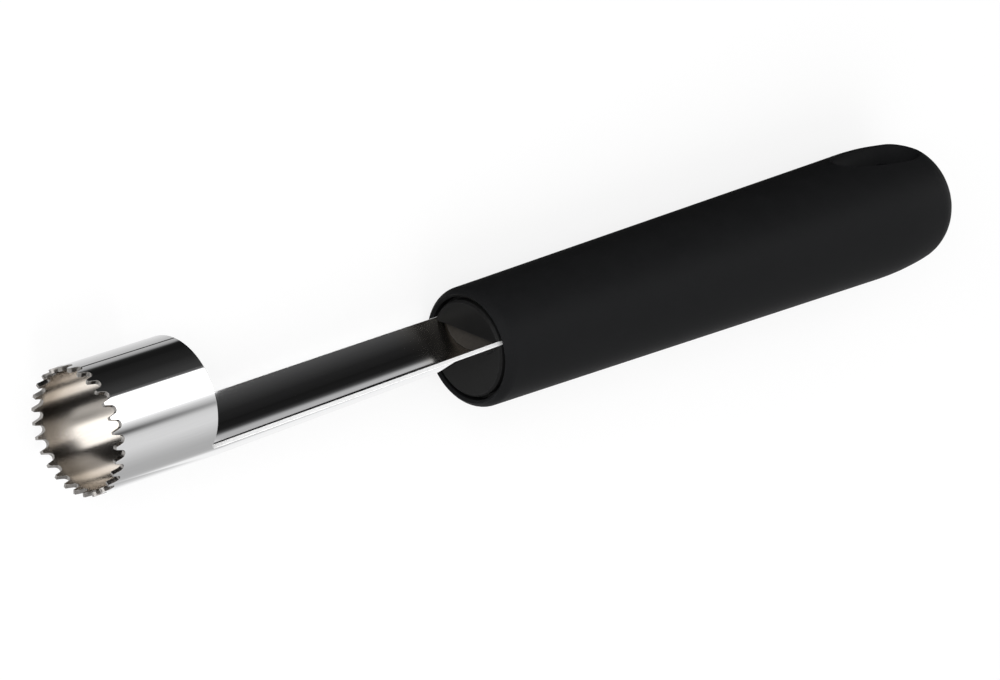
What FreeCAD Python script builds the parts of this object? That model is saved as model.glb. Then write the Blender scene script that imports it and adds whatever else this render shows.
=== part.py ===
"""Apple corer: a steel blade rolled from one sheet, a plug that holds its tang, and a soft grip.

Working frame, in millimetres: X runs along the ring's axis from the tooth tips to the butt, and
Z points out of the open side of the channel. The finished pieces are then laid on their resting
plane, with +X towards the teeth and +Z up.
"""
import FreeCAD, Part
import math
import os
from FreeCAD import Placement, Rotation, Vector

# Ring
SHEET = 0.8                  # thickness of the steel
RING_RADIUS = 11.0           # outside
RING_LENGTH = 21.6           # tooth tips to back edge
SEAM_GAP = 0.15              # butt seam opposite the channel
TOOTH_COUNT = 27
TOOTH_DEPTH = 1.8
TOOTH_TIP = 0.5                # land left at each point
GULLET_RADIUS = 0.72         # round bottom between two teeth
NECK_RADIUS = 1.2            # where the ring's back edge turns into the channel's edge
NECK_LENGTH = 3.0            # straight start of the channel behind the ring

# Shank, an open channel between ring and handle, rolled to the ring's radius
SHANK_LENGTH = 67.2
NECK_HALF_ANGLE = 56.0       # half the arc of the ring that runs on as the channel, degrees
TAPER_START = 1.0            # full width behind the neck's bend, before the channel narrows
MOUTH_HALF_WIDTH = 8.5       # half the channel's width at the handle
SHANK_RISE = 1.57            # how far the channel's bottom climbs from neck to handle

# Tang, hidden in the plug
TANG_SEAT = 2.5              # full width of channel inside the plug's face
TANG_LENGTH = 46.0
TANG_START_HALF_WIDTH = 6.4
TANG_END_HALF_WIDTH = 5.0
LOCK_HOLE_RADIUS = 2.2       # hole that the plug's peg fills
LOCK_HOLE_SETBACK = 12.0     # hole's centre from the tang's end

# Handle
AXIS_DROP = 8.7              # handle's axis below the ring's axis
FIT_GAP = 0.05               # clearance all round where two pieces seat
GRIP_LENGTH = 124.0
GRIP_MOUTH_RADIUS = 11.0
GRIP_BUTT_RADIUS = 12.65     # widest place, where the butt's rounding starts
BUTT_LENGTH = 20.3           # length of the rounded butt
BUTT_SIDE_RADIUS = 78.0      # three tangent arcs round the butt: side, shoulder and end
BUTT_SHOULDER_RADIUS = 8.7
BUTT_END_RADIUS = 134.0
LIP_RADIUS = 10.0            # front crest of the lip
LIP_LENGTH = 2.0
LIP_CHAMFER = 0.4            # inside the lip
BORE_RADIUS = 9.5
BORE_END_GAP = 0.5           # space behind the plug
PLUG_LENGTH = 70.0
PLUG_FACE_RADIUS = 8.84
PLUG_FACE_HEIGHT = 2.2       # the face stands in a ring groove this deep
PLUG_CHAMFER = 0.4
RAMP_DEPTH = 1.6             # how far the face leans back above the channel

# Hanging hole
DISH_FRONT = 15.75           # egg-shaped dish, from its widest place towards the ring
DISH_BACK = 6.8              # and towards the butt
DISH_WIDTH = 10.36
DISH_SETBACK = 10.9          # dish's widest place from the butt's end
THROAT_RADIUS = 3.0
RIM_CHAMFER = 0.4            # eased rim of the dish, and of the hole on the underside

# Places that follow from the sizes
X_NECK = RING_LENGTH + NECK_LENGTH
X_FACE = RING_LENGTH + SHANK_LENGTH
X_BUTT = X_FACE + GRIP_LENGTH
X_WIDEST = X_BUTT - BUTT_LENGTH
X_HOLE = X_BUTT - DISH_SETBACK
GRIP_SLOPE = (GRIP_BUTT_RADIUS - GRIP_MOUTH_RADIUS) / (X_WIDEST - X_FACE)
SHANK_TILT = math.atan(SHANK_RISE / (X_FACE - X_NECK))
NECK_ANGLE = math.radians(NECK_HALF_ANGLE)
MOUTH_ANGLE = math.asin(MOUTH_HALF_WIDTH / RING_RADIUS)
MOUTH_BOTTOM = SHANK_RISE - RING_RADIUS
MOUTH_CHORD = SHANK_RISE - RING_RADIUS * math.cos(MOUTH_ANGLE)
ALONG = Vector(1, 0, 0)
PAST = 1.0                   # how far a cutting tool runs past what it cuts
TOUCH = 0.001                # nearer than this, an edge lies on a surface

# Places along the shank's own line, which starts at the neck
FACE = (X_FACE - X_NECK) / math.cos(SHANK_TILT)
SEAT = FACE + TANG_SEAT
TANG_END = FACE + TANG_LENGTH


def from_neck(solid, tilt=SHANK_TILT):
    """Tilts a solid made along X and moves it to the neck, so that it runs on from there."""
    solid.rotate(Vector(), Vector(0, 1, 0), -math.degrees(tilt))
    solid.translate(Vector(X_NECK, 0, 0))
    return solid


def beyond_bend():
    """Block behind the plane in which the ring's neck and the tilted shank meet."""
    size = 4 * RING_RADIUS
    return from_neck(Part.makeBox(size, size, size, Vector(0, -size / 2, -size / 2)), SHANK_TILT / 2)


def loft(first, second):
    """Straight loft between two closed outlines."""
    return Part.makeLoft([first, second], True, True)


def sector(x, angle):
    """Triangle across X that holds the rolled sheet out to angle, to each side of its bottom."""
    reach = (RING_RADIUS + PAST) / math.cos(angle)
    tip = Vector(x, 0, 0)
    corners = [tip + Vector(0, side * math.sin(angle), -math.cos(angle)) * reach for side in (-1, 1)]
    return Part.makePolygon([tip] + corners + [tip])


def strip(start, end, start_angle, end_angle, grow=0.0):
    """Length of channel along X between two half arcs; grow thickens it evenly, for a slot."""
    base = Vector(start, 0, 0)
    tube = Part.makeCylinder(RING_RADIUS + grow, end - start, base, ALONG)
    tube = tube.cut(Part.makeCylinder(RING_RADIUS - SHEET - grow, end - start, base, ALONG))
    wider = grow / RING_RADIUS
    return tube.common(loft(sector(start, start_angle + wider), sector(end, end_angle + wider)))


def gullet_tool():
    """Prism that cuts one gap between two teeth through the top of the ring."""
    pitch = 2 * math.pi * RING_RADIUS / TOOTH_COUNT
    half_mouth = (pitch - TOOTH_TIP) / 2
    centre_x = TOOTH_DEPTH - GULLET_RADIUS
    # Each flank leaves the gullet's circle at its tangent point and runs straight to the tip
    reach = math.hypot(centre_x, half_mouth)
    turn = math.acos(GULLET_RADIUS / reach)
    bearing = math.atan2(half_mouth, -centre_x) - turn
    z = RING_RADIUS - SHEET - PAST
    touch_x = centre_x + GULLET_RADIUS * math.cos(bearing)
    touch_y = GULLET_RADIUS * math.sin(bearing)
    flare = (half_mouth - touch_y) / touch_x
    front_y = half_mouth + PAST * flare
    left = [Vector(-PAST, -front_y, z), Vector(touch_x, -touch_y, z)]
    right = [Vector(touch_x, touch_y, z), Vector(-PAST, front_y, z)]
    bottom = Part.Arc(left[1], Vector(TOOTH_DEPTH, 0, z), right[0]).toShape()
    outline = Part.Wire([Part.makeLine(*left), bottom, Part.makeLine(*right), Part.makeLine(right[1], left[0])])
    return Part.Face(outline).extrude(Vector(0, 0, SHEET + 2 * PAST))


def neck_edges(solid):
    """The two short edges where the ring's back edge meets the channel's edges."""
    middle = RING_RADIUS - SHEET / 2
    found = []
    for side in (-1, 1):
        spot = Vector(RING_LENGTH, side * middle * math.sin(NECK_ANGLE), -middle * math.cos(NECK_ANGLE))
        found.append(min(solid.Edges, key=lambda edge: (edge.CenterOfMass - spot).Length))
    return found


def ring_blank():
    """Tube for the ring, with the start of the channel left standing behind it."""
    tube = Part.makeCylinder(RING_RADIUS, X_NECK + PAST, Vector(), ALONG)
    tube = tube.cut(Part.makeCylinder(RING_RADIUS - SHEET, X_NECK + PAST, Vector(), ALONG))
    open_angle = 360 - 2 * NECK_HALF_ANGLE
    opening = Part.makeCylinder(RING_RADIUS + PAST, NECK_LENGTH + 2 * PAST, Vector(RING_LENGTH, 0, 0),
                                ALONG, open_angle)
    opening.rotate(Vector(), ALONG, -open_angle / 2)
    blank = tube.cut(opening)
    return blank.makeFillet(NECK_RADIUS, neck_edges(blank)).cut(beyond_bend())


def ring():
    """Closed ring with its teeth and the butt seam along its top."""
    tools = []
    for index in range(TOOTH_COUNT):
        tool = gullet_tool()
        tool.rotate(Vector(), ALONG, 360.0 * index / TOOTH_COUNT)
        tools.append(tool)
    seam_z = RING_RADIUS - SHEET - PAST
    seam = Part.makeBox(RING_LENGTH + 2 * PAST, SEAM_GAP, SHEET + 2 * PAST,
                        Vector(-PAST, -SEAM_GAP / 2, seam_z))
    return ring_blank().cut(tools + [seam])


def shank():
    """Open channel from the ring's neck into the plug."""
    bend = from_neck(strip(-PAST, TAPER_START, NECK_ANGLE, NECK_ANGLE)).common(beyond_bend())
    taper = from_neck(strip(TAPER_START, FACE, NECK_ANGLE, MOUTH_ANGLE))
    seat = from_neck(strip(FACE, SEAT, MOUTH_ANGLE, MOUTH_ANGLE))
    return [bend, taper, seat]


def narrow_strip(start, end, grow):
    """Tapered strip as wide as the tang, between two places of the shank's line."""
    return strip(start, end, math.asin(TANG_START_HALF_WIDTH / RING_RADIUS),
                 math.asin(TANG_END_HALF_WIDTH / RING_RADIUS), grow)


def lock_peg(radius):
    """Cylinder through the tang, as wide as its locking hole or the plug's peg in it."""
    return Part.makeCylinder(radius, SHEET + 2 * PAST,
                             Vector(TANG_END - LOCK_HOLE_SETBACK, 0, -RING_RADIUS - PAST))


def tang():
    """Narrow tapered end of the sheet, with the hole that locks it."""
    return from_neck(narrow_strip(SEAT, TANG_END, 0.0).cut(lock_peg(LOCK_HOLE_RADIUS)))


def blade():
    """The whole steel piece: toothed ring, channel shank and tang."""
    return ring().fuse(shank() + [tang()]).removeSplitter()


def revolved(edges):
    """Solid turned about the handle's axis, with its seam at +Y; the edges give radius as Z."""
    outline = Part.Wire(Part.__sortEdges__(edges))
    solid = Part.Face(outline).revolve(Vector(), ALONG, 360)
    solid.rotate(Vector(), ALONG, -90)
    solid.translate(Vector(0, 0, -AXIS_DROP))
    return solid


def polyline(points):
    """Straight edges through (x, radius) pairs."""
    corners = [Vector(x, 0, radius) for x, radius in points]
    return [Part.makeLine(a, b) for a, b in zip(corners, corners[1:])]


def tang_slot():
    """Space for the sheet inside the plug, with its clearance, round the peg that locks the tang."""
    seat_end = SEAT + FIT_GAP
    front = strip(FACE - 2 * PAST, seat_end, MOUTH_ANGLE, MOUTH_ANGLE, FIT_GAP)
    narrow = narrow_strip(seat_end, TANG_END + FIT_GAP, FIT_GAP)
    return from_neck(front.fuse(narrow.cut(lock_peg(LOCK_HOLE_RADIUS - FIT_GAP))))


def face_ramp():
    """Wedge cut from the plug's face above the channel, so that the face there leans back."""
    bottom = MOUTH_BOTTOM + SHEET
    corners = [Vector(X_FACE - PAST, -RING_RADIUS, bottom), Vector(X_FACE, -RING_RADIUS, bottom),
               Vector(X_FACE + RAMP_DEPTH, -RING_RADIUS, MOUTH_CHORD),
               Vector(X_FACE - PAST, -RING_RADIUS, MOUTH_CHORD)]
    wedge = Part.Face(Part.makePolygon(corners + corners[:1])).extrude(Vector(0, 2 * RING_RADIUS, 0))
    inside = Part.makeCylinder(RING_RADIUS - SHEET, RAMP_DEPTH + 4 * PAST, Vector(FACE - 2 * PAST, 0, 0),
                               ALONG)
    return wedge.common(from_neck(inside))


def handle_plug():
    """Hard plug: a raised face in the handle's mouth, a body in the bore and a slot for the tang."""
    body_radius = BORE_RADIUS - FIT_GAP
    groove_x = X_FACE + PLUG_FACE_HEIGHT
    end_x = X_FACE + PLUG_LENGTH
    outline = polyline([(X_FACE, 0), (X_FACE, PLUG_FACE_RADIUS - PLUG_CHAMFER),
                        (X_FACE + PLUG_CHAMFER, PLUG_FACE_RADIUS), (groove_x, PLUG_FACE_RADIUS),
                        (groove_x, body_radius), (end_x - PLUG_CHAMFER, body_radius),
                        (end_x, body_radius - PLUG_CHAMFER), (end_x, 0), (X_FACE, 0)])
    return revolved(outline).cut([tang_slot(), face_ramp()])


def unit(vector):
    """Vector of the same direction and length 1."""
    return vector / vector.Length


def bulge(centre, start, end):
    """Arc about centre from start to end, the shorter way."""
    middle = centre + unit(unit(start - centre) + unit(end - centre)) * (start - centre).Length
    return Part.Arc(start, middle, end).toShape()


def butt_edges():
    """Outline of the butt: side, shoulder and end arcs, tangent to each other and to the taper."""
    taper = math.atan(GRIP_SLOPE)
    widest = Vector(X_WIDEST, 0, GRIP_BUTT_RADIUS)
    tip = Vector(X_BUTT, 0, 0)
    side = widest + Vector(math.sin(taper), 0, -math.cos(taper)) * BUTT_SIDE_RADIUS
    end = tip - Vector(BUTT_END_RADIUS, 0, 0)
    # The shoulder's centre is this far from the other two, so that it touches both from inside
    from_side = BUTT_SIDE_RADIUS - BUTT_SHOULDER_RADIUS
    from_end = BUTT_END_RADIUS - BUTT_SHOULDER_RADIUS
    between = end - side
    along = (from_side ** 2 - from_end ** 2 + between.Length ** 2) / (2 * between.Length)
    across = math.sqrt(from_side ** 2 - along ** 2)
    ahead = unit(between)
    shoulder = side + ahead * along + Vector(ahead.z, 0, -ahead.x) * across
    first_touch = shoulder + unit(shoulder - side) * BUTT_SHOULDER_RADIUS
    second_touch = shoulder + unit(shoulder - end) * BUTT_SHOULDER_RADIUS
    return [bulge(side, widest, first_touch), bulge(shoulder, first_touch, second_touch),
            bulge(end, second_touch, tip)]


def lip_edges():
    """Lip of the grip: a small chamfer into the bore and a round on the outside."""
    start = Vector(X_FACE + LIP_CHAMFER, 0, BORE_RADIUS)
    crest = Vector(X_FACE, 0, LIP_RADIUS)
    top = Vector(X_FACE + LIP_LENGTH, 0, GRIP_MOUTH_RADIUS + GRIP_SLOPE * LIP_LENGTH)
    # The round touches the taper at its top, and its radius follows from the crest
    taper = math.atan(GRIP_SLOPE)
    inward = Vector(math.sin(taper), 0, -math.cos(taper))
    chord = crest - top
    radius = chord.Length ** 2 / (2 * chord.dot(inward))
    return [Part.makeLine(start, crest), bulge(top + inward * radius, crest, top)], start, top


def dish():
    """Egg-shaped scoop, a solid of revolution about a line along X."""
    centre = Vector(X_HOLE, 0, 0)
    crown = centre + Vector(0, 0, DISH_WIDTH / 2)
    front = centre - ALONG * DISH_FRONT
    back = centre + ALONG * DISH_BACK
    edges = [Part.Arc(Part.Ellipse(tip, crown, centre), 0, math.pi / 2).toShape() for tip in (front, back)]
    edges.append(Part.makeLine(front, back))
    return Part.Face(Part.Wire(Part.__sortEdges__(edges))).revolve(centre, ALONG, 360)


def hanging_hole(body):
    """Tool for the hole through the butt: a round throat with the scoop at its upper end."""
    axis = Part.makeLine(Vector(X_HOLE, 0, -AXIS_DROP), Vector(X_HOLE, 0, GRIP_BUTT_RADIUS))
    top = axis.common(body).BoundBox.ZMax
    scoop = dish()
    scoop.translate(Vector(0, 0, top))
    throat = Part.makeCylinder(THROAT_RADIUS, 2 * GRIP_BUTT_RADIUS + 2 * PAST,
                               Vector(X_HOLE, 0, -AXIS_DROP - GRIP_BUTT_RADIUS - PAST))
    return throat.fuse(scoop)


def rim_edges(pierced, body, tool):
    """Edges of the pierced grip that lie on its outside and on the hole's wall alike."""
    skin = body.Shells[0]
    wall = tool.Shells[0]
    found = []
    for edge in pierced.Edges:
        if edge.Length < TOUCH:
            continue
        middle = Part.Vertex(edge.valueAt((edge.FirstParameter + edge.LastParameter) / 2))
        if middle.distToShape(skin)[0] < TOUCH and middle.distToShape(wall)[0] < TOUCH:
            found.append(edge)
    return found


def grip_sleeve():
    """Soft grip: a sleeve over the plug, solid behind it, with a rounded butt and hanging hole."""
    lip, start, top = lip_edges()
    butt = butt_edges()
    bore_end = X_FACE + PLUG_LENGTH + BORE_END_GAP
    outline = lip + [Part.makeLine(top, butt[0].Vertexes[0].Point)] + butt
    outline += polyline([(X_BUTT, 0), (bore_end, 0), (bore_end, BORE_RADIUS), (start.x, BORE_RADIUS)])
    body = revolved(outline)
    tool = hanging_hole(body)
    pierced = body.cut(tool)
    return pierced.makeChamfer(RIM_CHAMFER, rim_edges(pierced, body, tool))


def resting_placement():
    """Turns the working frame so that the plane under the grip's flank and a tooth tip is level.

    The round grip rolls until the ring touches. The plane then holds a straight line of the
    grip's cone and the tip circle of the ring.
    """
    taper = math.atan(GRIP_SLOPE)
    sink = (GRIP_MOUTH_RADIUS - GRIP_SLOPE * X_FACE - RING_RADIUS) / AXIS_DROP
    down = math.degrees(math.asin(sink))
    roll = Rotation(Vector(1, 0, 0), -90 - down)
    level = Rotation(Vector(0, 1, 0), -math.degrees(taper))
    teeth_forward = Rotation(Vector(0, 0, 1), 180)
    return Placement(Vector(), teeth_forward.multiply(level).multiply(roll))


def lay_down(pieces):
    """Places the pieces at rest, with the origin under the middle of the whole corer."""
    placement = resting_placement()
    placed = {}
    for name, solid in pieces.items():
        placed[name] = solid.copy()
        placed[name].Placement = placement.multiply(solid.Placement)
    box = Part.makeCompound(list(placed.values())).optimalBoundingBox(False, False)
    shift = Vector(-(box.XMin + box.XMax) / 2, -(box.YMin + box.YMax) / 2, -box.ZMin)
    for solid in placed.values():
        solid.translate(shift)
    return placed


os.makedirs("parts", exist_ok=True)
corer = lay_down({"blade": blade(), "handle_plug": handle_plug(), "grip_sleeve": grip_sleeve()})
for node, shape in corer.items():
    shape.exportStep("parts/" + node + ".step")
    print(node, "valid", shape.isValid(), "solids", len(shape.Solids), "volume", round(shape.Volume, 1))
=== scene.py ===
"""Apple corer with a toothed ring, channel shank and soft grip, lying on a pale studio floor."""
import logging
import math
from dataclasses import dataclass
from enum import Enum

import bpy
from mathutils import Matrix, Vector


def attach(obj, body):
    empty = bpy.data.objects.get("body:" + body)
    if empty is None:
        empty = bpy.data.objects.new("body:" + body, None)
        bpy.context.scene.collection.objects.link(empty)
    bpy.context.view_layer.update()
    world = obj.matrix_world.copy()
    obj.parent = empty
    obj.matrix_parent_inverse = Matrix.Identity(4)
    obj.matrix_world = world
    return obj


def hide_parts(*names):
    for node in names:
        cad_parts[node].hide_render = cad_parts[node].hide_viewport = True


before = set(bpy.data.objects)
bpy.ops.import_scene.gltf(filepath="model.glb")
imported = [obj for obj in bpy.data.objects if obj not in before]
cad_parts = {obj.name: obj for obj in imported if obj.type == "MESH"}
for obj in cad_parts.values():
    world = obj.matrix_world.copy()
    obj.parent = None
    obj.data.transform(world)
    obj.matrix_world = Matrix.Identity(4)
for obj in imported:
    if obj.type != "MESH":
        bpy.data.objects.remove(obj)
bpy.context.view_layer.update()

LOG = logging.getLogger("apple_corer")
MM = 0.001
DEGREE = math.radians(1.0)
# Differences below these, in radians or millimetres, come from rounding alone
HAIR = 1e-9
TOUCH = 1e-6

Triple = tuple[float, float, float]
# Place along an axis, and the brightness there
Stop = tuple[float, float]
# Corner of the flat sheet: place along it from the tooth tips, and angle round the ring
Corner = tuple[float, float]

# Takes a point of the corer's own frame, with the ring's axis along X and the channel's open side
# up, to where the corer lies at rest.
LYING = Matrix(((-0.999873, -0.015698, 0.002584, 0.106319118),
                (0.0, -0.162405, -0.986724, -0.005122186),
                (0.015909, -0.986599, 0.162384, 0.010998608),
                (0.0, 0.0, 0.0, 1.0)))


class SteelFace(Enum):
    """Parts of the blade's surface, by the finish that they take."""

    OUTSIDE = 0
    INSIDE = 1
    TEETH = 2
    SEAM = 3
    EDGE = 4


class SeenBy(Enum):
    """Kinds of ray that the studio answers in a way of its own."""

    CAMERA = "Is Camera Ray"
    GLOSSY = "Is Glossy Ray"


class Axis(Enum):
    """Axes of an object, by their sockets."""

    X = "X"
    Y = "Y"
    Z = "Z"


# Node graphs

class Graph:
    """Thin hand on a node tree: adds nodes, sets their sockets and links them."""

    def __init__(self, tree: bpy.types.NodeTree) -> None:
        """Takes the tree and empties it."""
        self.tree = tree
        self.tree.nodes.clear()

    def add(self, kind: str, settings: dict[str, object] | None = None,
            inputs: dict[str | int, object] | None = None) -> bpy.types.Node:
        """Adds one node.

        Args:
            kind: the node's type name, without the leading "ShaderNode" where it has one.
            settings: attributes of the node.
            inputs: socket name or index to a value, or to the output socket that feeds it.

        Returns:
            The new node.
        """
        name = kind if kind.startswith("NodeGroup") else "ShaderNode" + kind
        node = self.tree.nodes.new(name)
        for key, value in (settings or {}).items():
            setattr(node, key, value)
        for key, value in (inputs or {}).items():
            if isinstance(value, bpy.types.NodeSocket):
                self.tree.links.new(value, node.inputs[key])
            else:
                node.inputs[key].default_value = value
        return node

    def maths(self, operation: str, *values: object, clamp: bool = False) -> bpy.types.NodeSocket:
        """Adds a Math node over values or sockets, and returns its output socket."""
        node = self.add("Math", {"operation": operation, "use_clamp": clamp}, dict(enumerate(values)))
        return node.outputs[0]

    def place(self, axis: Axis) -> bpy.types.NodeSocket:
        """Adds the place along one of the object's axes in metres, and returns its socket."""
        parts = self.add("SeparateXYZ", None, {0: self.add("TexCoord").outputs["Object"]})
        return parts.outputs[axis.value]

    def share(self, value: bpy.types.NodeSocket, start: float, end: float,
              smooth: bool = False) -> bpy.types.NodeSocket:
        """Adds a Map Range node that runs from 0 to 1.

        Args:
            value: socket of the value to map.
            start: the value that gives 0.
            end: the value that gives 1.
            smooth: whether both ends are eased.

        Returns:
            The share's socket.
        """
        node = self.add("MapRange", {"interpolation_type": "SMOOTHSTEP" if smooth else "LINEAR"},
                        {"Value": value, "From Min": start, "From Max": end})
        return node.outputs[0]

    def blend(self, share: bpy.types.NodeSocket, first: bpy.types.NodeSocket | Triple,
              second: bpy.types.NodeSocket | Triple) -> bpy.types.NodeSocket:
        """Adds a mix of two colours.

        Args:
            share: socket of the second colour's share.
            first: a colour, or the socket that gives it.
            second: a colour, or the socket that gives it.

        Returns:
            The mixed colour's socket.
        """
        ends = {index: (*end, 1.0) if isinstance(end, tuple) else end
                for index, end in ((6, first), (7, second))}
        return self.add("Mix", {"data_type": "RGBA"}, {0: share, **ends}).outputs[2]

    def greys(self, place: bpy.types.NodeSocket, stops: tuple[Stop, ...],
              unit: float) -> bpy.types.NodeSocket:
        """Adds a grey ramp along a place or an angle.

        Args:
            place: socket of the place or the angle.
            stops: places and linear brightness, in order.
            unit: size of the unit that the stops' places are written in.

        Returns:
            The ramp's colour socket.
        """
        start, end = stops[0][0], stops[-1][0]
        node = self.add("ValToRGB", None, {"Fac": self.share(place, start * unit, end * unit)})
        elements = node.color_ramp.elements
        while len(elements) < len(stops):
            elements.new(0.5)
        for element, (spot, level) in zip(elements, stops):
            element.position = (spot - start) / (end - start)
            element.color = (level, level, level, 1.0)
        return node.outputs["Color"]


def fine_grain_group() -> bpy.types.NodeTree:
    """Shared grain of moulded and rolled surfaces, in the object's own coordinates.

    Returns:
        Group with inputs Cells (per metre, along X, Y and Z), Fine and Blotch, and outputs Height
        and Tone, both about one half on average.
    """
    tree = bpy.data.node_groups.new("fine_grain", "ShaderNodeTree")
    tree.interface.new_socket("Cells", in_out="INPUT", socket_type="NodeSocketVector")
    for name, value in (("Fine", 1.0), ("Blotch", 0.5)):
        socket = tree.interface.new_socket(name, in_out="INPUT", socket_type="NodeSocketFloat")
        socket.default_value = value
    for name in ("Height", "Tone"):
        tree.interface.new_socket(name, in_out="OUTPUT", socket_type="NodeSocketFloat")
    graph = Graph(tree)
    given = graph.add("NodeGroupInput")
    place = graph.add("TexCoord")
    spread_out = graph.add("VectorMath", {"operation": "MULTIPLY"},
                           {0: place.outputs["Object"], 1: given.outputs["Cells"]})
    fine = graph.add("TexNoise", None, {"Vector": spread_out.outputs[0], "Scale": 1.0, "Detail": 3.0,
                                        "Roughness": 0.6})
    blotch = graph.add("TexNoise", None, {"Vector": spread_out.outputs[0], "Scale": 0.07, "Detail": 2.0})
    fine_part = graph.maths("MULTIPLY", graph.maths("SUBTRACT", fine.outputs[0], 0.5),
                            given.outputs["Fine"])
    blotch_part = graph.maths("MULTIPLY", graph.maths("SUBTRACT", blotch.outputs[0], 0.5),
                              given.outputs["Blotch"])
    height = graph.maths("ADD", fine_part, 0.5)
    tone = graph.maths("ADD", graph.maths("ADD", fine_part, blotch_part), 0.5, clamp=True)
    graph.add("NodeGroupOutput", None, {"Height": height, "Tone": tone})
    return tree


def edge_wear_group() -> bpy.types.NodeTree:
    """Shared wear of edges: finds where the surface turns sharply, broken up by a little noise.

    Returns:
        Group with inputs Width (metres) and Amount, and output Mask, 0 on the flat and up to
        Amount along edges.
    """
    gain = 6.0
    patch_start, patch_end = 0.35, 0.6
    tree = bpy.data.node_groups.new("edge_wear", "ShaderNodeTree")
    for name, value in (("Width", 0.0004), ("Amount", 1.0)):
        socket = tree.interface.new_socket(name, in_out="INPUT", socket_type="NodeSocketFloat")
        socket.default_value = value
    tree.interface.new_socket("Mask", in_out="OUTPUT", socket_type="NodeSocketFloat")
    graph = Graph(tree)
    given = graph.add("NodeGroupInput")
    rounded = graph.add("Bevel", {"samples": 4}, {"Radius": given.outputs["Width"]})
    plain = graph.add("NewGeometry")
    facing = graph.add("VectorMath", {"operation": "DOT_PRODUCT"},
                       {0: rounded.outputs[0], 1: plain.outputs["Normal"]})
    turned = graph.maths("MULTIPLY", graph.maths("SUBTRACT", 1.0, facing.outputs["Value"]), gain,
                         clamp=True)
    place = graph.add("TexCoord")
    patches = graph.add("TexNoise", None, {"Vector": place.outputs["Object"], "Scale": 900.0, "Detail": 2.0})
    broken = graph.share(patches.outputs[0], patch_start, patch_end)
    mask = graph.maths("MULTIPLY", graph.maths("MULTIPLY", turned, broken), given.outputs["Amount"])
    graph.add("NodeGroupOutput", None, {"Mask": mask})
    return tree


@dataclass(frozen=True)
class Groups:
    """The node groups that the finishes share."""

    grain: bpy.types.NodeTree
    wear: bpy.types.NodeTree


# Finishes

@dataclass(frozen=True)
class Shade:
    """Colours and roughnesses of a surface at the two ends of its grain's tone."""

    dark: Triple
    light: Triple
    roughness: tuple[float, float]

    def sockets(self, graph: Graph, tone: bpy.types.NodeSocket) -> tuple[bpy.types.NodeSocket,
                                                                        bpy.types.NodeSocket]:
        """Adds the nodes that turn the grain's tone into this colour and roughness.

        Args:
            graph: the material's graph.
            tone: the grain's tone.

        Returns:
            Sockets of the colour and the roughness.
        """
        gloss = graph.add("MapRange", None, {"Value": tone, "To Min": self.roughness[0],
                                             "To Max": self.roughness[1]})
        return graph.blend(tone, self.dark, self.light), gloss.outputs[0]


@dataclass(frozen=True)
class Finish:
    """One surface finish: shade, grain, worn edges, and shades that it fades to along X.

    The cells are the grain's, per metre along X, Y and Z. Each fade names a shade and the places
    along X, in metres, where it starts and where it has taken over.
    """

    name: str
    slot: str
    shade: Shade
    cells: Triple
    relief_mm: float
    worn: Triple
    wear: float = 0.3
    metallic: float = 0.0
    specular: float = 0.5
    fine: float = 1.0
    blotch: float = 0.5
    bump: float = 0.3
    fades: tuple[tuple[Shade, float, float], ...] = ()

    def material(self, groups: Groups) -> bpy.types.Material:
        """Builds the material round the shared grain and wear.

        Args:
            groups: the shared node groups.

        Returns:
            The finished material.
        """
        made, graph = blank_material(self.name)
        texture = graph.add("Group", {"node_tree": groups.grain},
                            {"Cells": self.cells, "Fine": self.fine, "Blotch": self.blotch})
        colour, gloss = self.shade.sockets(graph, texture.outputs["Tone"])
        for shade, start, end in self.fades:
            share = graph.share(graph.place(Axis.X), start, end, smooth=True)
            other, other_gloss = shade.sockets(graph, texture.outputs["Tone"])
            colour = graph.blend(share, colour, other)
            gloss = graph.add("Mix", None, {"Factor": share, 2: gloss, 3: other_gloss}).outputs[0]
        wear = graph.add("Group", {"node_tree": groups.wear}, {"Amount": self.wear})
        bump = graph.add("Bump", None, {"Strength": self.bump, "Distance": self.relief_mm * MM,
                                        "Height": texture.outputs["Height"]})
        shader = graph.add("BsdfPrincipled", None, {
            "Base Color": graph.blend(wear.outputs["Mask"], colour, self.worn),
            "Metallic": self.metallic, "Roughness": gloss,
            "Specular IOR Level": self.specular, "Normal": bump.outputs[0]})
        graph.add("OutputMaterial", None, {"Surface": shader.outputs[0]})
        return made


def blank_material(name: str) -> tuple[bpy.types.Material, Graph]:
    """Makes a material without nodes.

    Args:
        name: the material's name.

    Returns:
        The material and the graph of its nodes.
    """
    made = bpy.data.materials.new(name)
    made.use_nodes = True
    return made, Graph(made.node_tree)


ALONG_SHEET = (60.0, 9000.0, 9000.0)
CUT_GRAIN = (4000.0, 4000.0, 4000.0)

# The ring's inside shades are painted shade, darker at the front and tips; the mouth's is satin with a
# painted reflection.
RING_PAINTED_SHADE = Shade(dark=(0.50, 0.46, 0.415), light=(0.64, 0.60, 0.55), roughness=(0.13, 0.19))
FRONT_PAINTED_SHADE = Shade(dark=(0.32, 0.285, 0.245), light=(0.42, 0.385, 0.345), roughness=(0.13, 0.19))
TIP_DULL_AND_PAINTED_SHADE = Shade(dark=(0.13, 0.12, 0.11), light=(0.30, 0.28, 0.26), roughness=(0.22, 0.34))
CHANNEL_SHADE = Shade(dark=(0.80, 0.80, 0.81), light=(0.90, 0.90, 0.91), roughness=(0.04, 0.07))
MOUTH_SATIN_AND_PAINTED_REFLECTION = Shade(dark=(0.70, 0.66, 0.60), light=(0.84, 0.80, 0.74), roughness=(0.20, 0.28))

STEEL = Finish(
    name="polished_steel", slot="steel",
    shade=Shade(dark=(0.86, 0.86, 0.865), light=(0.94, 0.94, 0.945), roughness=(0.03, 0.055)),
    cells=ALONG_SHEET, relief_mm=0.002, worn=(0.95, 0.95, 0.95), metallic=1.0, blotch=0.3, bump=0.1)
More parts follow.
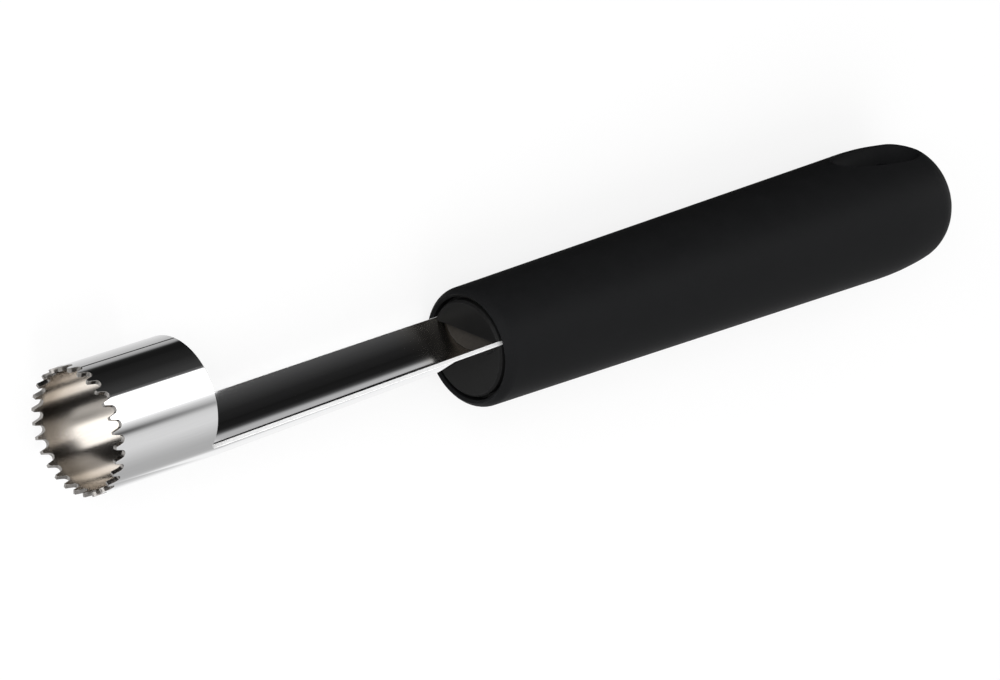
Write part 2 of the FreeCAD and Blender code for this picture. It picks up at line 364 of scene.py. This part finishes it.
# Inside, the ring is painted darker and warmer than the channel behind it: painted shade. Towards
# the teeth it is painted darker still, more painted shade, and the tips are ground dull. Where the channel
# enters the grip it is satin, and painted a little darker and browner: a painted reflection.
STEEL_INSIDE_PAINTED_SHADE = Finish(
    name="inner_steel_painted_shade", slot="steel", shade=RING_PAINTED_SHADE,
    cells=ALONG_SHEET, relief_mm=0.003, worn=(0.72, 0.69, 0.66), metallic=1.0, blotch=0.6, bump=0.2,
    fades=((CHANNEL_SHADE, 0.092, 0.080), (MOUTH_SATIN_AND_PAINTED_REFLECTION, 0.030, 0.021),
           (FRONT_PAINTED_SHADE, 0.0995, 0.1035), (TIP_DULL_AND_PAINTED_SHADE, 0.1040, 0.1051)))
# The cut edges behind the ring are rough, and painted near white: a painted highlight.
EDGE_PAINTED_HIGHLIGHT = Finish(
    name="cut_edge_steel_painted_highlight", slot="steel",
    shade=Shade(dark=(0.95, 0.95, 0.95), light=(0.99, 0.99, 0.99), roughness=(0.40, 0.50)),
    cells=CUT_GRAIN, relief_mm=0.003, worn=(0.99, 0.99, 0.99), metallic=0.35, bump=0.2)
# The teeth's cut faces are painted dark: painted shade.
TEETH_PAINTED_SHADE = Finish(
    name="cut_teeth_steel_painted_shade", slot="steel",
    shade=Shade(dark=(0.18, 0.17, 0.16), light=(0.46, 0.44, 0.42), roughness=(0.18, 0.30)),
    cells=CUT_GRAIN, relief_mm=0.006, worn=(0.8, 0.79, 0.78), metallic=1.0, blotch=0.8)
# The seam's walls are painted near black: painted shade in the narrow gap.
SEAM_PAINTED_SHADE = Finish(
    name="seam_steel_painted_shade", slot="steel",
    shade=Shade(dark=(0.05, 0.05, 0.05), light=(0.12, 0.12, 0.12), roughness=(0.4, 0.6)),
    cells=(2500.0, 2500.0, 2500.0), relief_mm=0.01, worn=(0.2, 0.2, 0.2), metallic=1.0, blotch=0.8)
PLUG_PLASTIC = Finish(
    name="plug_plastic", slot="plug_plastic",
    shade=Shade(dark=(0.008, 0.008, 0.008), light=(0.0125, 0.0125, 0.0125), roughness=(0.38, 0.5)),
    cells=(2600.0, 2600.0, 2600.0), relief_mm=0.015, worn=(0.05, 0.052, 0.055), specular=0.06)
# The ramp is painted lighter and browner than the plug: painted light thrown up from the steel channel.
PLUG_RAMP_PAINTED_LIGHT = Finish(
    name="plug_ramp_plastic_painted_light", slot="plug_plastic",
    shade=Shade(dark=(0.026, 0.023, 0.020), light=(0.046, 0.041, 0.036), roughness=(0.34, 0.46)),
    cells=(1800.0, 1800.0, 1800.0), relief_mm=0.015, worn=(0.06, 0.055, 0.05), specular=0.2,
    blotch=0.9)
GRIP_RUBBER = Finish(
    name="grip_rubber", slot="grip_rubber",
    shade=Shade(dark=(0.0052, 0.0054, 0.0058), light=(0.0092, 0.0094, 0.010), roughness=(0.52, 0.68)),
    cells=(3200.0, 3200.0, 3200.0), relief_mm=0.02, worn=(0.03, 0.031, 0.033), wear=0.25,
    specular=0.08)

STEEL_FINISHES = {
    SteelFace.OUTSIDE: STEEL,
    SteelFace.INSIDE: STEEL_INSIDE_PAINTED_SHADE,
    SteelFace.TEETH: TEETH_PAINTED_SHADE,
    SteelFace.SEAM: SEAM_PAINTED_SHADE,
    SteelFace.EDGE: EDGE_PAINTED_HIGHLIGHT,
}


# The steel piece

# Steps of the mesh along the sheet: teeth, ring, back edge, shank, tang, and round the locking hole
TOOTH_STEPS, RING_STEPS, BACK_STEPS = 3, 6, 3
SHANK_STEPS, TANG_STEPS, HOLE_STEPS = 12, 3, 8
# Where the columns stand on a gullet's round bottom and on the neck's bend, as shares of each
GULLET_SHARES = (0.3, 0.6, 0.85)
NECK_SHARES = (0.0, 0.04, 0.14, 0.32, 0.6, 1.0)
# Least angle between a tooth's column and one of the neck or the tang
COLUMN_ROOM = 0.005
# Leans of the normals round an eased edge, from square to the sheet to along it
EDGE_ROUND = tuple(math.radians(lean) for lean in (0.0, 22.5, 45.0, 67.5, 90.0))


def spread(start: float, end: float, count: int) -> list[float]:
    """Evenly spaced places after the start, the last of them at the end."""
    return [start + (end - start) * step / count for step in range(1, count + 1)]


@dataclass
class Blade:
    """Toothed ring, open channel and tang, bent from one sheet. Millimetres and radians.

    The sheet is laid out as columns round the ring, each a strip from its front edge to its back
    edge, and every column is bent by the same rule, so that the surface has no facets to show.
    """

    sheet: float = 0.8
    radius: float = 11.0
    ring_length: float = 21.6
    seam_gap: float = 0.15
    tooth_count: int = 27
    tooth_depth: float = 1.8
    tooth_tip: float = 0.5
    gullet_radius: float = 0.72
    neck_radius: float = 1.2
    neck_length: float = 3.0
    shank_length: float = 67.2
    neck_half_angle: float = math.radians(56.0)
    taper_start: float = 1.0
    mouth_half_width: float = 8.5
    shank_rise: float = 1.57
    seat_length: float = 2.5
    tang_length: float = 46.0
    tang_start: float = 6.4
    tang_end: float = 5.0
    hole_radius: float = 2.2
    hole_setback: float = 12.0
    # Half the square of mesh that the locking hole is cut from
    hole_frame: float = 3.5
    # Radii of the eased edges
    seam_edge: float = 0.10
    tooth_edge: float = 0.045
    shank_edge: float = 0.12
    back_edge: float = 0.12
    # Places along the sheet: behind the teeth, the ring's even rows, and ahead of the neck
    teeth_end: float = 2.0
    even_start: float = 3.0
    even_end: float = 20.0
    neck_lead: float = 0.9

    def __post_init__(self) -> None:
        """Works out the places that follow from the sizes, along the sheet from the tooth tips."""
        run = self.shank_length - self.neck_length
        self.tilt = math.atan(self.shank_rise / run)
        self.x_neck = self.ring_length + self.neck_length
        self.x_face = self.x_neck + run / math.cos(self.tilt)
        self.x_seat = self.x_face + self.seat_length
        self.x_end = self.x_face + self.tang_length
        self.x_hole = self.x_end - self.hole_setback
        self.mouth_angle = math.asin(self.mouth_half_width / self.radius)
        share = math.asin(self.tang_start / self.radius) / self.mouth_angle
        self.tang_column = share * self.neck_half_angle

    def front(self, angle: float) -> float:
        """Finds the toothed edge.

        Args:
            angle: angle round the ring from the channel's middle.

        Returns:
            The edge's place along the sheet.
        """
        pitch = 2 * math.pi / self.tooth_count
        from_seam = math.pi - abs(angle)
        offset = abs((from_seam + pitch / 2) % pitch - pitch / 2)
        across = self.radius * math.sin(offset)
        centre_x, half_mouth, touch_x, touch_y = self.gullet()
        if across >= half_mouth:
            return 0.0
        if across >= touch_y:
            return touch_x * (half_mouth - across) / (half_mouth - touch_y)
        return centre_x + math.sqrt(self.gullet_radius ** 2 - across ** 2)

    def gullet(self) -> tuple[float, float, float, float]:
        """Works out one gap between teeth, with straight flanks and a round bottom.

        Returns:
            The round's centre along the sheet, half the gap's mouth, and where a flank touches
            the round: along the sheet and across.
        """
        half_mouth = (2 * math.pi * self.radius / self.tooth_count - self.tooth_tip) / 2
        centre_x = self.tooth_depth - self.gullet_radius
        turn = math.acos(self.gullet_radius / math.hypot(centre_x, half_mouth))
        bearing = math.atan2(half_mouth, -centre_x) - turn
        touch_x = centre_x + self.gullet_radius * math.cos(bearing)
        return centre_x, half_mouth, touch_x, self.gullet_radius * math.sin(bearing)

    def back(self, angle: float) -> float:
        """Finds the ring's back edge, with the round where it turns into the channel.

        Args:
            angle: angle round the ring from the channel's middle.

        Returns:
            The edge's place along the sheet.
        """
        beside = self.radius * (abs(angle) - self.neck_half_angle)
        if beside <= 0:
            return self.ring_length + self.neck_radius
        if beside >= self.neck_radius:
            return self.ring_length
        inward = self.neck_radius - beside
        return self.ring_length + self.neck_radius - math.sqrt(self.neck_radius ** 2 - inward ** 2)

    def columns(self) -> list[float]:
        """Places the sheet's columns: close round each gullet and bend, wide elsewhere.

        Returns:
            Their angles, from one side of the seam round to the other.
        """
        _, half_mouth, _, touch_y = self.gullet()
        bottom = math.asin(touch_y / self.gullet_radius)
        steps = [0.0]
        steps += [self.gullet_radius * math.sin(bottom * share) for share in GULLET_SHARES]
        steps += [touch_y, (touch_y + half_mouth) / 2, half_mouth]
        offsets = [math.asin(step / self.radius) for step in steps]
        pitch = 2 * math.pi / self.tooth_count
        seam = self.seam_gap / 2 / self.radius
        found = {seam, math.pi}
        for index in range(self.tooth_count // 2 + 1):
            for offset in offsets:
                found |= {index * pitch + offset, index * pitch - offset}
            found.add((index + 0.5) * pitch)
        usual = sorted(a for a in found if seam <= a <= math.pi + HAIR)
        neck = [self.radius * self.neck_half_angle + self.neck_radius * share for share in NECK_SHARES]
        fixed = [math.pi - s / self.radius for s in neck] + [math.pi - self.tang_column]
        kept = [a for a in usual if min(abs(a - f) for f in fixed) > COLUMN_ROOM]
        half = sorted(kept + fixed)
        angles = [math.pi - a for a in half if a < math.pi - HAIR]
        return [-a for a in angles] + [0.0] + angles[::-1]

    def rows(self, angle: float) -> list[float]:
        """Places one column's corners.

        Args:
            angle: the column's angle.

        Returns:
            Places along the sheet, front to back.
        """
        front, back = self.front(angle), self.back(angle)
        places = [front, *spread(front, self.even_start, TOOTH_STEPS),
                  *spread(self.even_start, self.even_end, RING_STEPS),
                  *spread(self.even_end, back, BACK_STEPS)]
        if abs(angle) > self.neck_half_angle + HAIR:
            return places
        taper = self.x_neck + self.taper_start
        places += [self.x_neck - self.neck_lead, self.x_neck, taper,
                   *spread(taper, self.x_face, SHANK_STEPS), self.x_seat]
        if abs(angle) > self.tang_column + HAIR:
            return places
        frame_start, frame_end = self.x_hole - self.hole_frame, self.x_hole + self.hole_frame
        return [*places, *spread(self.x_seat, frame_start, TANG_STEPS),
                *spread(frame_start, frame_end, HOLE_STEPS), self.x_end]

    def tang_reach(self, x: float) -> float:
        """Works out half the arc that the tang holds.

        Args:
            x: place along the sheet.

        Returns:
            The angle, in radians.
        """
        along = (x - self.x_seat) / (self.x_end - self.x_seat)
        half_width = math.tan(math.asin(self.tang_start / self.radius))
        last = math.tan(math.asin(self.tang_end / self.radius))
        return math.atan(half_width + (last - half_width) * along)

    def turn(self, x: float, angle: float) -> float:
        """Follows a column inwards where the sheet narrows.

        Args:
            x: place along the sheet.
            angle: the column's angle in the ring.

        Returns:
            Its angle at that place.
        """
        if x > self.x_seat + HAIR:
            return angle / self.tang_column * self.tang_reach(x)
        start = self.x_neck + self.taper_start
        share = min(max((x - start) / (self.x_face - start), 0.0), 1.0)
        wide, narrow = math.tan(self.neck_half_angle), math.tan(self.mouth_angle)
        return angle / self.neck_half_angle * math.atan(wide + (narrow - wide) * share)

    def bend(self, x: float, angle: float, depth: float) -> Vector:
        """Bends the flat sheet.

        Args:
            x: place along the sheet.
            angle: the column, as its angle in the ring.
            depth: how far below the sheet's outside the point lies.

        Returns:
            The point in the corer's own frame, in millimetres.
        """
        reach = self.radius - depth
        turn = self.turn(x, angle)
        across, height = reach * math.sin(turn), -reach * math.cos(turn)
        # Ring and shank meet in the plane halfway between their directions
        near = max(0.0, 1.0 - abs(x - self.x_neck) / self.taper_start)
        mitre = -height * math.tan(self.tilt / 2) * near
        if x <= self.x_neck:
            return Vector((x + mitre, across, height))
        along = x - self.x_neck - mitre
        rise, level = math.sin(self.tilt), math.cos(self.tilt)
        return Vector((self.x_neck + along * level - height * rise, across, along * rise + height * level))

    def outward(self, x: float, angle: float) -> Vector:
        """Finds the direction square to the bent sheet, away from the channel's middle.

        Args:
            x: place along the sheet.
            angle: the column's angle in the ring.

        Returns:
            Unit vector in the corer's own frame.
        """
        turn = self.turn(x, angle)
        share = min(max((x - self.x_neck) / self.taper_start + 0.5, 0.0), 1.0)
        lean = self.tilt * share
        down = -math.cos(turn)
        return Vector((-down * math.sin(lean), math.sin(turn), down * math.cos(lean)))

    def ease(self, x: float, angle: float) -> float:
        """Looks up how round the sheet's edge is at a place on its outline.

        Args:
            x: place along the sheet.
            angle: the column's angle in the ring.

        Returns:
            The edge's radius.
        """
        if math.pi - abs(angle) < self.seam_gap / self.radius:
            return self.seam_edge
        if x < self.teeth_end:
            return self.tooth_edge
        share = min(max((x - self.ring_length) / self.neck_radius, 0.0), 1.0)
        return self.back_edge + (self.shank_edge - self.back_edge) * share

    def edge_part(self, start: Corner, end: Corner) -> SteelFace:
        """Tells which part of the surface a cut edge belongs to.

        Args:
            start: corner of the outline where the edge starts.
            end: corner where it ends.

        Returns:
            The part.
        """
        if max(start[0], end[0]) < self.teeth_end:
            return SteelFace.TEETH
        if all(math.pi - abs(angle) < self.seam_gap / self.radius for _, angle in (start, end)):
            return SteelFace.SEAM
        behind_ring = max(start[0], end[0]) > self.ring_length + self.neck_radius / 2
        return SteelFace.EDGE if behind_ring else SteelFace.OUTSIDE

    def build(self) -> bpy.types.Object:
        """Makes the blade's mesh with its eased edges and the tang's locking hole.

        Returns:
            The blade, lying at rest.
        """
        grid = [[(x, angle) for x in self.rows(angle)] for angle in self.columns()]
        flat: list[Corner] = []
        index: dict[tuple[int, int], int] = {}
        for i, column in enumerate(grid):
            for j, place in enumerate(column):
                index[i, j] = len(flat)
                flat.append(place)
        faces = []
        for i in range(len(grid) - 1):
            for j in range(min(len(grid[i]), len(grid[i + 1])) - 1):
                face = (index[i, j], index[i, j + 1], index[i + 1, j + 1], index[i + 1, j])
                if not all(self.beside_hole(flat[corner]) for corner in face):
                    faces.append(face)
        ring: dict[int, int] = {}
        for a, b in self.outline(faces):
            if not (self.beside_hole(flat[a]) and self.beside_hole(flat[b])):
                continue
            for corner in (a, b):
                if corner not in ring:
                    ring[corner] = len(flat)
                    flat.append(self.on_hole(*flat[corner]))
            faces.append((b, a, ring[a], ring[b]))
        return self.solid(flat, faces)

    def beside_hole(self, place: Corner) -> bool:
        """Tells whether a corner lies in the square that the locking hole is cut from.

        Args:
            place: the corner.

        Returns:
            True inside the square and on its front and back sides.
        """
        x, angle = place
        across = self.radius * math.sin(self.turn(x, angle))
        return abs(x - self.x_hole) < self.hole_frame + TOUCH and abs(across) < self.hole_frame

    def on_hole(self, x: float, angle: float) -> Corner:
        """Finds the point of the locking hole's edge that lies towards a corner round it.

        Args:
            x: the corner's place along the sheet.
            angle: its angle in the ring.

        Returns:
            The point on the hole's edge.
        """
        across = self.radius * math.sin(self.turn(x, angle))
        bearing = math.atan2(across, x - self.x_hole)
        place = self.x_hole + self.hole_radius * math.cos(bearing)
        turn = math.asin(self.hole_radius * math.sin(bearing) / (self.radius - self.sheet))
        return place, turn * self.tang_column / self.tang_reach(place)

    @staticmethod
    def outline(faces: list[tuple[int, ...]]) -> list[tuple[int, int]]:
        """Edges that only one face has, each in that face's direction."""
        used = {edge for face in faces for edge in zip(face, face[1:] + face[:1])}
        return [(a, b) for a, b in used if (b, a) not in used]

    def solid(self, flat: list[Corner], faces: list[tuple[int, ...]]) -> bpy.types.Object:
        """Gives the flat outline its thickness and eased edges, and bends it.

        Args:
            flat: the corners of the outline's faces.
            faces: corner indices of each face.

        Returns:
            The blade, lying at rest.
        """
        nudge = 0.002
        rim = sorted(self.outline(faces))
        after = dict(rim)
        before = {b: a for a, b in rim}
        points: list[Vector] = []
        normals: list[Vector] = []
        keys: dict[tuple[int, int], int] = {}
        last = len(EDGE_ROUND) * 2 - 1
        for corner, (x, angle) in enumerate(flat):
            out = self.outward(x, angle)
            if corner not in after:
                keys[corner, 0], keys[corner, last] = len(points), len(points) + 1
                points += [self.bend(x, angle, 0.0), self.bend(x, angle, self.sheet)]
                normals += [out, -out]
                continue
            away = self.away(flat[before[corner]], flat[corner], flat[after[corner]])
            sideways = (self.bend(x, angle + nudge, 0.0) - self.bend(x, angle - nudge, 0.0)).normalized()
            side = (Vector((1.0, 0.0, 0.0)) * away.x + sideways * away.y).normalized()
            radius = self.ease(x, angle)
            for layer in range(last + 1):
                outer = layer < len(EDGE_ROUND)
                lean = EDGE_ROUND[layer if outer else last - layer]
                inset = radius * (1 - math.sin(lean))
                depth = radius * (1 - math.cos(lean))
                keys[corner, layer] = len(points)
                points.append(self.bend(x - away.x * inset, angle - away.y * inset / self.radius,
                                        depth if outer else self.sheet - depth))
                normals.append(side * math.sin(lean) + out * (math.cos(lean) if outer else -math.cos(lean)))
        polygons = [[keys[c, 0] for c in reversed(face)] for face in faces]
        polygons += [[keys[c, last] for c in face] for face in faces]
        parts = [SteelFace.OUTSIDE] * len(faces) + [SteelFace.INSIDE] * len(faces)
        for a, b in rim:
            for layer in range(last):
                polygons.append([keys[a, layer], keys[b, layer], keys[b, layer + 1], keys[a, layer + 1]])
                parts.append(self.edge_part(flat[a], flat[b]))
        mesh = bpy.data.meshes.new("blade_sheet")
        mesh.from_pydata([LYING @ (p * MM) for p in points], [], polygons)
        turn = LYING.to_3x3()
        for part, polygon in zip(parts, mesh.polygons):
            polygon.use_smooth = True
            polygon.material_index = part.value
        mesh.normals_split_custom_set_from_vertices([(turn @ n).normalized() for n in normals])
        made = bpy.data.objects.new("blade_sheet", mesh)
        bpy.context.scene.collection.objects.link(made)
        return made

    def away(self, behind: Corner, here: Corner, ahead: Corner) -> Vector:
        """Finds the direction out of the flat sheet at a corner of its outline.

        Args:
            behind: the corner before it.
            here: the corner.
            ahead: the corner after it.

        Returns:
            Unit vector along the sheet and round it.
        """
        spots = [Vector((x, angle * self.radius)) for x, angle in (behind, here, ahead)]
        first = (spots[1] - spots[0]).normalized()
        second = (spots[2] - spots[1]).normalized()
        across = Vector((first.y + second.y, -first.x - second.x))
        return across.normalized() if across.length > TOUCH else Vector((first.y, -first.x))

    def dress(self, groups: Groups) -> None:
        """Builds the blade in place of its plain solid, in the finishes of its one steel.

        Args:
            groups: the shared node groups.
        """
        piece = self.build()
        for part in SteelFace:
            piece.data.materials.append(STEEL_FINISHES[part].material(groups))
        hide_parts("blade")
        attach(piece, "root")
        LOG.info("blade: %d faces", len(piece.data.polygons))


# The handle

@dataclass
class Handle:
    """Hard plug and soft grip, whose solids keep their shape and get their finishes here.

    The other fields tell the plug's ramp from its other faces, in the corer's own frame: places in
    millimetres, and parts of a face's unit normal.
    """

    pieces: tuple[tuple[str, Finish], ...] = (("handle_plug", PLUG_PLASTIC), ("grip_sleeve", GRIP_RUBBER))
    face: float = 88.8
    ramp_start: float = 0.01
    ramp_depth: float = 1.6
    ramp_top: float = -5.3
    towards_ring: float = 0.7
    upwards: float = 0.2
    sideways: float = 0.05

    def dress(self, groups: Groups) -> None:
        """Gives the plug and the grip their materials.

        Args:
            groups: the shared node groups.
        """
        for node, finish in self.pieces:
            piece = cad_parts[node]
            piece.data.materials.clear()
            piece.data.materials.append(finish.material(groups))
            LOG.info("%s: %s", node, finish.name)
        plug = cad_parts["handle_plug"]
        # The ramp's faces take the plastic with painted light.
        plug.data.materials.append(PLUG_RAMP_PAINTED_LIGHT.material(groups))
        back = LYING.inverted() @ plug.matrix_world
        for polygon in plug.data.polygons:
            polygon.material_index = int(self.on_ramp(back @ polygon.center, back.to_3x3() @ polygon.normal))

    def on_ramp(self, centre: Vector, normal: Vector) -> bool:
        """Tells whether a face of the plug belongs to the ramp that leans back above the channel.

        Args:
            centre: the face's middle in the corer's own frame, in metres.
            normal: its normal in that frame.

        Returns:
            True on the ramp.
        """
        depth = centre.x / MM - self.face
        leans_back = (normal.x < -self.towards_ring and normal.z > self.upwards
                      and abs(normal.y) < self.sideways)
        return leans_back and self.ramp_start < depth < self.ramp_depth and centre.z / MM < self.ramp_top


# The studio

def flat_object(name: str, corners: tuple[Triple, ...]) -> bpy.types.Object:
    """Makes a flat face of the studio.

    Args:
        name: the object's name.
        corners: its corners in order, in metres.

    Returns:
        The object, in the scene.
    """
    mesh = bpy.data.meshes.new(name)
    mesh.from_pydata(corners, [], [tuple(range(len(corners)))])
    made = bpy.data.objects.new(name, mesh)
    bpy.context.scene.collection.objects.link(made)
    return made


@dataclass(frozen=True)
class Card:
    """Toned card that only mirror-like surfaces see. Places in millimetres.

    Its tone changes along one axis, and it may also fade along X, between two places, to one
    brightness.
    """

    name: str
    corners: tuple[Triple, ...]
    along: Axis
    stops: tuple[Stop, ...]
    fade: tuple[float, float] | None = None
    fade_level: float = 0.0

    def hold_up(self) -> None:
        """Builds the card and hides it from every ray but the mirrored ones."""
        card = flat_object(self.name, tuple((x * MM, y * MM, z * MM) for x, y, z in self.corners))
        material, graph = blank_material(self.name)
        tone = graph.greys(graph.place(self.along), self.stops, MM)
        if self.fade:
            start, end = self.fade
            share = graph.share(graph.place(Axis.X), start * MM, end * MM)
            tone = graph.blend(share, tone, (self.fade_level,) * 3)
        glow = graph.add("Emission", None, {"Color": tone, "Strength": 1.0})
        graph.add("OutputMaterial", None, {"Surface": glow.outputs[0]})
        card.data.materials.append(material)
        for rays in ("camera", "diffuse", "shadow", "transmission", "volume_scatter"):
            setattr(card, "visible_" + rays, False)


@dataclass(frozen=True)
class Lamp:
    """Soft square lamp that looks at the corer and shows in no reflection. Metres and watts."""

    name: str
    place: Triple
    size: float
    watts: float

    def hang(self) -> None:
        """Builds the lamp."""
        light = bpy.data.lights.new(self.name, "AREA")
        light.size = self.size
        light.energy = self.watts
        lamp = bpy.data.objects.new(self.name, light)
        lamp.location = self.place
        lamp.rotation_euler = (-Vector(self.place)).to_track_quat("-Z", "Y").to_euler()
        lamp.visible_glossy = False
        bpy.context.scene.collection.objects.link(lamp)


# The dark side of the room, in the channel and on the ring
DARK_FLAG = Card(
    "dark_flag",
    ((-300.0, -60.0, 1.0), (250.0, -60.0, 1.0), (250.0, -60.0, 47.0), (27.0, -60.0, 47.0),
     (-25.6, -60.0, 120.0), (-300.0, -60.0, 120.0)),
    along=Axis.Z, stops=((0, 0.012), (20, 0.018), (43, 0.045), (80, 0.088), (120, 0.10)))
# The dark streak low on the ring
THIN_FLAG = Card(
    "thin_flag", ((52.0, -9.0, 60.0), (84.0, -9.0, 60.0), (84.0, 8.0, 60.0), (52.0, 8.0, 60.0)),
    along=Axis.Y, stops=((-9, 0.74), (-7, 0.60), (-4, 0.34), (-2, 0.16), (-0.9, 0.11), (0.5, 0.16),
                         (2.5, 0.32), (4.5, 0.52), (8, 0.68)),
    fade=(78.0, 30.0), fade_level=0.68)


@dataclass
class Studio:
    """Pale floor, soft light, tones that only the steel mirrors, and the camera. Metres."""

    floor_size: float = 20.0
    floor_glow: float = 0.80
    light_level: float = 0.62
    # The floor's tones for the steel, across Y in millimetres: beside the shank, beside the ring,
    # and the places along X between which one turns into the other. Beneath the shank the tones dim: a
    # painted shadow that only the steel sees.
    shank_tones_with_painted_shadow: tuple[Stop, ...] = (
        (-45, 0.010), (-16, 0.013), (-13, 0.03), (-12, 0.046), (-10.7, 0.065), (-9.3, 0.16),
        (-8.6, 0.27), (-7.5, 0.43), (-6, 0.49), (-3, 0.50), (0, 0.54), (5, 0.6), (10, 0.88),
        (20, 0.97), (37, 0.97), (43, 0.90), (49, 0.71), (60, 0.55), (82, 0.46), (180, 0.44))
    ring_tones: tuple[Stop, ...] = (
        (-45, 0.010), (-39, 0.012), (-35, 0.04), (-33.5, 0.18), (-31, 0.36), (-28, 0.45),
        (-23, 0.55), (-18, 0.70), (-13, 0.86), (-3, 0.96), (14, 0.97), (20, 0.90), (26, 0.71),
        (37, 0.55), (59, 0.46), (180, 0.44))
    ring_zone: tuple[float, float] = (0.064, 0.070)
    # The sky's tones for the steel, in degrees from the horizon at -Y over the top to the one at +Y
    sky_tones: tuple[Stop, ...] = (
        (0, 0.012), (9, 0.02), (19, 0.03), (29, 0.075), (33.5, 0.12), (35.5, 1.6), (40, 2.2),
        (78, 2.2), (83, 1.0), (87, 0.74), (92, 0.68), (110, 0.68), (116, 0.72), (128.6, 0.72),
        (138.6, 0.65), (148.6, 0.57), (158, 0.5), (168.6, 0.45), (180, 0.44))
    cards: tuple[Card, ...] = (DARK_FLAG, THIN_FLAG)
    lamps: tuple[Lamp, ...] = (Lamp("key", (0.70, -0.35, 0.60), size=0.6, watts=6.0),
                               Lamp("fill", (0.10, 0.60, 0.85), size=0.8, watts=4.0))
    location: Triple = (0.523826, -0.195429, 0.553427)
    forward: Triple = (-0.665144, 0.257603, -0.700874)
    up: Triple = (-0.244463, -0.962006, -0.121581)
    lens: float = 156.284
    sensor: float = 36.0
    clip: tuple[float, float] = (0.01, 20.0)

    def floor(self) -> None:
        """Lays the floor: white for the camera with a soft shadow, toned for the steel."""
        half = self.floor_size / 2
        floor = flat_object("floor", ((-half, -half, 0.0), (half, -half, 0.0), (half, half, 0.0),
                                      (-half, half, 0.0)))
        material, graph = blank_material("pale_floor")
        across = graph.place(Axis.Y)
        beside_ring = graph.share(graph.place(Axis.X), *self.ring_zone, smooth=True)
        tone = graph.blend(beside_ring, graph.greys(across, self.shank_tones_with_painted_shadow, MM),
                           graph.greys(across, self.ring_tones, MM))
        rays = graph.add("LightPath")
        white = graph.add("Emission", None, {"Color": (1.0, 1.0, 1.0, 1.0), "Strength": 1.0})
        paper = graph.add("BsdfDiffuse", None, {"Color": (0.92, 0.92, 0.92, 1.0)})
        toned = graph.add("Emission", None, {"Color": tone, "Strength": 1.0})
        glow = graph.maths("MULTIPLY", rays.outputs[SeenBy.CAMERA.value], self.floor_glow)
        seen = graph.add("MixShader", None, {0: glow, 1: paper.outputs[0], 2: white.outputs[0]})
        mixed = graph.add("MixShader", None, {0: rays.outputs[SeenBy.GLOSSY.value],
                                              1: seen.outputs[0], 2: toned.outputs[0]})
        graph.add("OutputMaterial", None, {"Surface": mixed.outputs[0]})
        floor.data.materials.append(material)

    def world(self) -> None:
        """White for the camera, plain soft light, and bands of light and dark for the steel."""
        world = bpy.data.worlds.new("studio")
        bpy.context.scene.world = world
        world.use_nodes = True
        graph = Graph(world.node_tree)
        rays = graph.add("LightPath")
        way = graph.add("SeparateXYZ", None, {0: graph.add("TexCoord").outputs["Generated"]})
        turn = graph.maths("ARCTAN2", way.outputs["Z"], graph.maths("MULTIPLY", way.outputs["Y"], -1.0))
        turn = graph.maths("WRAP", turn, 1.5 * math.pi, -0.5 * math.pi)
        soft = graph.blend(rays.outputs[SeenBy.CAMERA.value], (self.light_level,) * 3, (1.0, 1.0, 1.0))
        seen = graph.blend(rays.outputs[SeenBy.GLOSSY.value], soft,
                           graph.greys(turn, self.sky_tones, DEGREE))
        back = graph.add("Background", None, {"Color": seen, "Strength": 1.0})
        graph.add("OutputWorld", None, {"Surface": back.outputs[0]})

    def camera(self) -> None:
        """Sets the camera where the photograph was taken from."""
        data = bpy.data.cameras.new("photo_view")
        data.lens = self.lens
        data.sensor_width = self.sensor
        data.clip_start, data.clip_end = self.clip
        camera = bpy.data.objects.new("photo_view", data)
        forward = Vector(self.forward).normalized()
        right = forward.cross(Vector(self.up)).normalized()
        up = right.cross(forward)
        axes = Matrix((right, up, -forward)).transposed().to_4x4()
        camera.matrix_world = Matrix.Translation(self.location) @ axes
        bpy.context.scene.collection.objects.link(camera)
        bpy.context.scene.camera = camera

    def build(self) -> None:
        """Builds the whole studio."""
        self.floor()
        for card in self.cards:
            card.hold_up()
        self.world()
        for lamp in self.lamps:
            lamp.hang()
        self.camera()
        view = bpy.context.scene.view_settings
        view.view_transform = "Standard"
        LOG.info("studio: floor, cards, lamps and camera")


def main() -> None:
    """Builds the corer's pieces in order, and then the studio round them."""
    logging.basicConfig(level=logging.INFO, format="%(name)s %(message)s")
    groups = Groups(fine_grain_group(), edge_wear_group())
    Blade().dress(groups)
    Handle().dress(groups)
    Studio().build()


if __name__ == "__main__":
    main()
